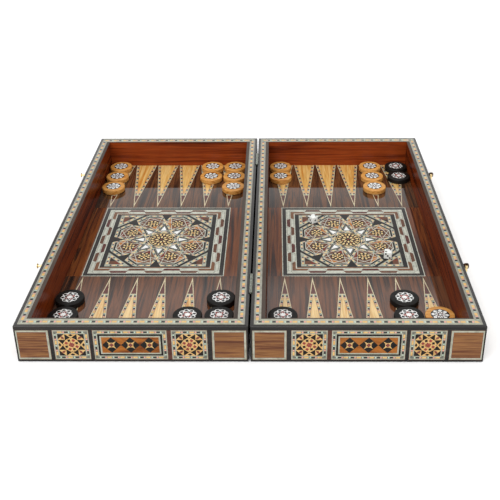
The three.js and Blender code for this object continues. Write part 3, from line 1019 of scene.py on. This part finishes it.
KNUCKLES = 5
KNUCKLE_SPAN = 38.0  # of all five knuckles
KNUCKLE_RADIUS = 2.0
KNUCKLE_BORE = 0.95
LEAF_THICKNESS = 1.2
SCREW_PROFILE = [(-0.8, 0), (-0.8, 1.2), (-0.05, 2.1), (0.12, 2.0), (0.2, 0)]
PIN_HEAD = [(0, 0), (0.1, 0.7), (0.35, 1.15), (0.7, 1.2), (0.7, 0.65)]
SHANK = [(-7, 0), (-5.5, 1.3), (0.0, 1.3)]
PIVOT_SCREW = SHANK + [(0.05, 2.6), (1.9, 2.6), (1.9, 1.3), (5.5, 1.3), (5.5, 3.0), (5.9, 3.15), (6.3, 2.9),
                       (6.7, 2.1), (6.95, 1.0), (7.0, 0)]
STUD = SHANK + [(0.05, 2.4), (1.0, 2.4), (1.3, 1.3), (5.5, 1.3), (5.5, 2.6), (5.8, 3.1), (6.3, 3.0),
                (6.7, 2.3), (6.95, 1.2), (7.0, 0)]


def joint_place(name):
    joint = next(j for j in frame["record"]["behaviour"]["joints"] if j["name"] == name)
    return Vector(joint["pos_m"])


def add_leaf(hinge, side, first_knuckle):
    """One hinge leaf: its plate, three countersunk screws and every other knuckle."""
    node, body = f"{hinge}_hinge_{side}_leaf", f"{side}_half"
    low, high = box(node)
    way = 1 if side == "right" else -1
    axis_z = joint_place("fold").z
    middle_y = (low.y + high.y) / 2
    plane = Plane((way * MM, middle_y, low.z), (0, -way, 0), (0, 0, 1))
    drop = (axis_z - low.z) / MM
    bm = bmesh.new()
    prism(bm, rectangle(-20, 0, 20, drop - 2.6), plane, LEAF_THICKNESS, 0.2)
    step = KNUCKLE_SPAN / KNUCKLES
    length = step - 0.3
    end = [(0, KNUCKLE_BORE), (0, KNUCKLE_RADIUS - 0.2), (0.2, KNUCKLE_RADIUS)]
    profile = end + [(length - distance, radius) for distance, radius in reversed(end)] + end[:1]
    for knuckle in range(first_knuckle, KNUCKLES, 2):
        start = middle_y / MM - KNUCKLE_SPAN / 2 + knuckle * step + 0.15
        lathe(bm, profile, (0, start * MM, axis_z), (0, 1, 0), 32)
        neck = Plane((way * MM, (start + length / 2) * MM, axis_z - 3.1 * MM), plane.u, plane.v)
        prism(bm, rectangle(-length / 2, 0, length / 2, 2.3), neck, LEAF_THICKNESS, 0.1)
    add_solid(f"{node}_metal", bm, ["steel"], body, (node,))
    bm = bmesh.new()
    for k in (-1, 0, 1):
        lathe(bm, SCREW_PROFILE, plane.at(13 * k, drop - 10), plane.out, 24)
    add_solid(f"{node}_screws", bm, ["steel"], body)


def add_pin(hinge):
    node = f"{hinge}_hinge_pin"
    low, high = box(node)
    length = (high.y - low.y) / MM
    profile = PIN_HEAD + [(length - distance, radius) for distance, radius in reversed(PIN_HEAD)]
    bm = bmesh.new()
    lathe(bm, profile, (0, low.y, (low.z + high.z) / 2), (0, 1, 0), 24)
    add_solid(f"{node}_metal", bm, ["steel"], "right_half", (node,))


def hook_outline():
    """The hook from its flat side, hanging from its pivot at the origin."""
    notch = -8.3  # the height of the notch that catches the stud
    outline = [(-2.4, -2.2), (-2.4, notch + 1.8)] + arc((0, notch), 1.8, 90, -90, 12)
    outline += [(-4.4, notch - 1.8), (-4.6, notch - 2.6), (-3.8, notch - 3.7), (-2.4, notch - 4.3),
                (0, notch - 4.4), (1.6, notch - 4.0), (2.6, notch - 2.8), (2.94, notch - 1.2), (2.94, notch)]
    return outline + [(2.4, -2.2)] + arc((0, 0), 3.3, -45, 225, 24)


def add_latch(latch):
    """A hook that is darker above its pivot, its pivot screw, and the stud that it catches."""
    pivot = joint_place(f"{latch}_hook_swing")
    node = f"{latch}_latch_hook"
    low, high = box(node)
    plane = Plane((high.x, pivot.y, pivot.z), (0, 1, 0), (0, 0, 1))
    bm = bmesh.new()
    prism(bm, hook_outline(), plane, (high.x - low.x) / MM, 0.3)
    # Faces above the pivot take the second, dark metal, so the hook is darker at its top.
    for face in bm.faces:
        if face.calc_center_median().z > pivot.z + 1.6 * MM:
            face.material_index = 1
    add_solid(f"{node}_metal", bm, ["brass", "patina"], f"{latch}_hook", (node,))
    for part, side, way, profile, material in (("screw", "right", 1, PIVOT_SCREW, "patina"),
                                               ("stud", "left", -1, STUD, "brass")):
        node = f"{latch}_latch_{part}"
        bm = bmesh.new()
        lathe(bm, profile, (way * pivot.x, pivot.y, pivot.z), (way, 0, 0), 32)
        add_solid(f"{node}_metal", bm, [material], f"{side}_half", (node,))


# ---------------------------------------------------------------- the set

def add_tray(tray):
    for name in RAILS:
        rail = Rail(tray, name)
        made = add_rail(rail)
        add_rim_band(rail)
        if name == "hinge_rail":
            cut_mortises(made)
        else:
            add_face_panels(tray, rail)
    front = box(f"{tray}_front_rail")[0].y
    left = min(box(f"{tray}_outer_rail")[0].x, box(f"{tray}_hinge_rail")[0].x)
    field_plane = Plane((left, front, box(f"{tray}_front_field")[1].z), (1, 0, 0), (0, 1, 0))
    add_field(tray, field_plane)
    add_medallion_strip(tray, field_plane)
    add_underside(tray)


for tray_name in TRAYS:
    add_tray(tray_name)
for body_name, nodes in frame["record"]["behaviour"]["bodies"].items():
    if "_checker_" in body_name:
        add_checker(nodes[0], body_name, body_name.split("_")[0], int(body_name.split("_")[-1]))
for die in DICE:
    add_die(die)
for hardware in ("front", "back"):
    add_leaf(hardware, "right", 0)
    add_leaf(hardware, "left", 1)
    add_pin(hardware)
    add_latch(hardware)


# ---------------------------------------------------------------- camera, light and floor

def add_camera():
    data = bpy.data.cameras.new("camera")
    data.lens = 60.2
    data.sensor_width = 36.0
    data.shift_x = -0.0312
    data.shift_y = -0.1143
    camera = bpy.data.objects.new("camera", data)
    turn = Matrix.Rotation(math.radians(0.809), 4, "Z") @ Matrix.Rotation(math.radians(63.364), 4, "X")
    turn = turn @ Matrix.Rotation(math.radians(-0.435), 4, "Z")
    camera.matrix_world = Matrix.Translation((0.0282, -0.9603, 0.5561)) @ turn
    bpy.context.scene.collection.objects.link(camera)
    bpy.context.scene.camera = camera


def add_sun(name, direction, strength, softness):
    """A soft far-off light, shining from direction; softness is its width in degrees."""
    data = bpy.data.lights.new(name, "SUN")
    data.energy = strength
    data.angle = math.radians(softness)
    light = bpy.data.objects.new(name, data)
    light.rotation_euler = Vector(direction).to_track_quat("Z", "Y").to_euler()
    bpy.context.scene.collection.objects.link(light)


def add_stage():
    """A white floor, just under the set."""
    bm = bmesh.new()
    bmesh.ops.create_grid(bm, x_segments=1, y_segments=1, size=12.0)
    shader = Shader("floor", Specular_IOR_Level=0.1)
    grain = shader.noise((3.0, 3.0, 3.0), 2.0)
    shader.finish(shader.ramp(grain, [(246, 246, 246), (250, 250, 250)]), shader.spread(grain, 0.85, 0.95))
    floor = bpy.data.objects.new("floor", mesh_from("floor", bm, ["floor"]))
    floor.location.z = -0.0006
    bpy.context.scene.collection.objects.link(floor)


# The studio's brightness at each height of the sky, from straight down (0) to straight up (1).
SKY = ((0.45, 0.95), (0.475, 0.5), (0.525, 0.5), (0.55, 1.25), (0.62, 1.2), (0.72, 0.5))


def add_world():
    """A pale studio: white near the horizon, with a ring of soft light higher up and grey overhead."""
    world = bpy.data.worlds.new("studio")
    world.use_nodes = True
    tree = world.node_tree
    direction = tree.nodes.new("ShaderNodeTexCoord").outputs["Generated"]
    height = tree.nodes.new("ShaderNodeSeparateXYZ")
    tree.links.new(direction, height.inputs["Vector"])
    ramp = tree.nodes.new("ShaderNodeValToRGB")
    tree.links.new(height.outputs["Z"], ramp.inputs["Fac"])
    stops = ramp.color_ramp.elements
    for _ in SKY[2:]:
        stops.new(1.0)
    for stop, (position, brightness) in zip(stops, SKY):
        stop.position = position
        stop.color = (brightness, brightness, brightness, 1.0)
    tree.links.new(ramp.outputs["Color"], tree.nodes["Background"].inputs["Color"])
    tree.nodes["Background"].inputs["Strength"].default_value = 1.0
    bpy.context.scene.world = world


add_camera()
add_stage()
add_world()
add_sun("key", (-0.5, -0.75, 1.1), 1.75, 50)
add_sun("fill", (0.6, -0.4, 1.4), 0.8, 70)
bpy.context.scene.view_settings.view_transform = "Standard"
